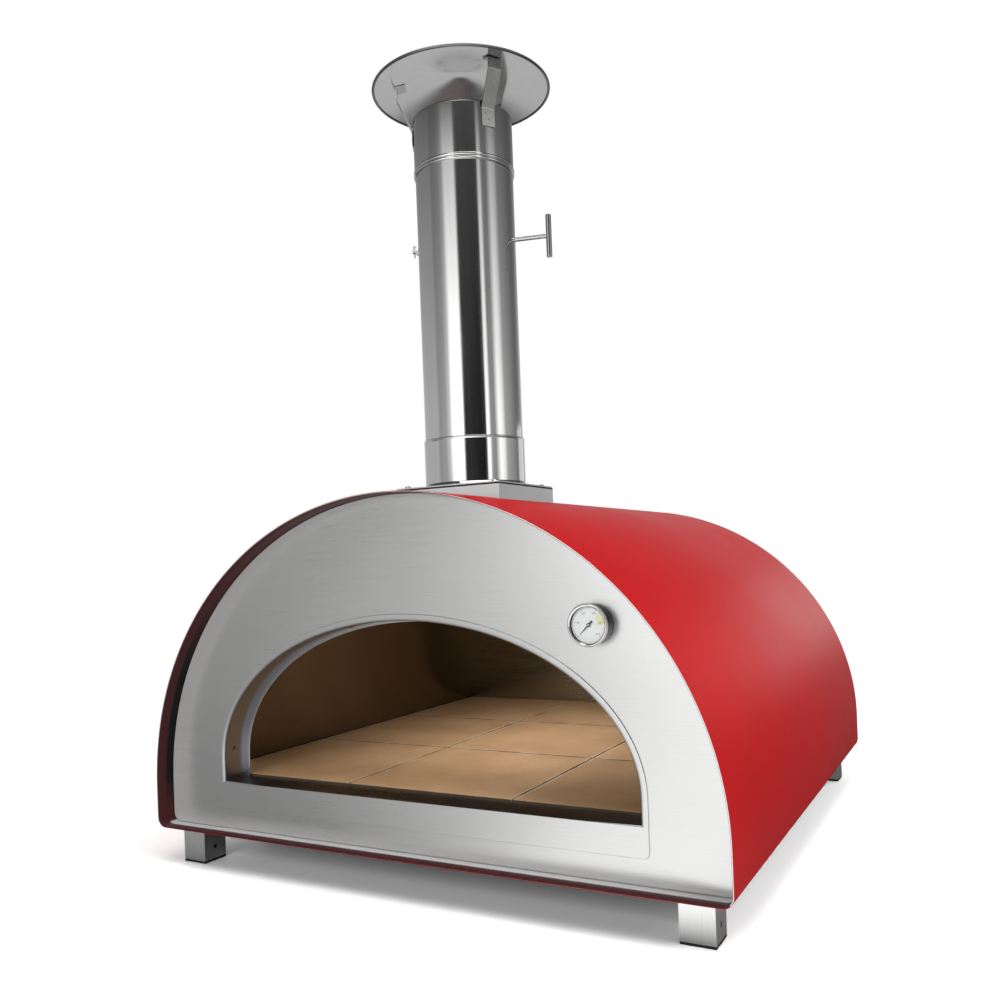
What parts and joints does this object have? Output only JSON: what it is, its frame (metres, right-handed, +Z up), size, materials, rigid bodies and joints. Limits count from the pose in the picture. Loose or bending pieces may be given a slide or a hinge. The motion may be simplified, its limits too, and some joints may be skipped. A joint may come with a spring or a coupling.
{
  "type": "countertop pizza oven",
  "caption": "Arched, insulated steel pizza oven on short legs, with an open mouth, stone floor, thermometer, and a flue with damper and rain cowl.",
  "frame": {"origin": "on the ground, in the middle of the footprint", "axes": "+Z up, the mouth faces -Y, +X to the right of someone facing the mouth"},
  "size_m": [0.83, 0.87, 1.12],
  "materials": {
    "shell_enamel": "red powder coat, satin",
    "front_steel": "fine brushed stainless",
    "rear_steel": "red powder coat, satin",
    "chamber_steel": "bright stainless, heat tinted",
    "fixing_steel": "plain stainless",
    "fibre_blanket": "ceramic fibre",
    "insulation_board": "light insulating board",
    "frame_steel": "black painted steel",
    "fire_clay": "matt fire clay",
    "leg_steel": "brushed stainless",
    "black_plastic": "matt black",
    "flue_steel": "bright annealed stainless",
    "box_steel": "satin stainless",
    "damper_steel": "bright stainless",
    "gauge_chrome": "polished",
    "gauge_glass": "clear",
    "dial_white": "white lacquer with scale",
    "pointer_black": "matt black",
    "stem_steel": "plain stainless"
  },
  "bodies": {
    "oven": {"chamber_front_wall": "chamber_steel", "chamber_rear_wall": "chamber_steel", "chamber_vault": "chamber_steel", "chassis_rail_left": "frame_steel", "chassis_rail_right": "frame_steel", "door_stop_ring": "front_steel", "floor_insulation_board": "insulation_board", "floor_tile_front_centre": "fire_clay", "floor_tile_front_left": "fire_clay", "floor_tile_front_right": "fire_clay", "floor_tile_middle_centre": "fire_clay", "floor_tile_middle_left": "fire_clay", "floor_tile_middle_right": "fire_clay", "floor_tile_rear_centre": "fire_clay", "floor_tile_rear_left": "fire_clay", "floor_tile_rear_right": "fire_clay", "floor_tray": "frame_steel", "flue_base_plate": "box_steel", "flue_box": "box_steel", "flue_box_bolts": "fixing_steel", "flue_collar": "flue_steel", "flue_gasket": "fibre_blanket", "flue_throat": "flue_steel", "front_insulation": "insulation_board", "front_plate": "front_steel", "leg_caps": "black_plastic", "leg_fixings": "fixing_steel", "leg_front_left": "leg_steel", "leg_front_right": "leg_steel", "leg_rear_left": "leg_steel", "leg_rear_right": "leg_steel", "mouth_rivets": "fixing_steel", "mouth_surround": "front_steel", "outer_shell": "shell_enamel", "rear_insulation": "insulation_board", "rear_plate": "rear_steel", "rear_plate_screws": "fixing_steel", "sill_and_apron": "front_steel", "thermometer_bezel": "gauge_chrome", "thermometer_case": "gauge_chrome", "thermometer_dial": "dial_white", "thermometer_lens": "gauge_glass", "thermometer_nut": "fixing_steel", "thermometer_stem": "stem_steel", "vault_blanket": "fibre_blanket"},
    "flue": {"flue_pipe": "flue_steel"},
    "damper": {"damper_plate": "damper_steel", "damper_spindle": "damper_steel", "damper_screws": "fixing_steel", "damper_tee_bar": "damper_steel", "damper_washer": "fixing_steel", "damper_nut": "fixing_steel", "damper_split_pin": "fixing_steel"},
    "cowl": {"cowl_sleeve": "flue_steel", "cowl_cone": "flue_steel", "cowl_strap_left": "flue_steel", "cowl_strap_right": "flue_steel", "cowl_strap_rear": "flue_steel"},
    "pointer": {"thermometer_pointer": "pointer_black"}
  },
  "joints": [
    {"name": "flue_lift", "type": "slide", "parent": "oven", "child": "flue", "axis": [0, 0, 1], "range_m": [0, 0.075]},
    {"name": "damper_turn", "type": "hinge", "parent": "flue", "child": "damper", "pos_m": [0, -0.205, 0.87], "axis": [0.9659, 0.2588, 0], "range_deg": [0, 90]},
    {"name": "cowl_lift", "type": "slide", "parent": "flue", "child": "cowl", "axis": [0, 0, 1], "range_m": [0, 0.09]},
    {"name": "thermometer_sweep", "type": "hinge", "parent": "oven", "child": "pointer", "pos_m": [0.262, -0.42, 0.34], "axis": [0, 1, 0], "range_deg": [0, 270], "stiffness_Nm_per_rad": 0.00005}
  ]
}
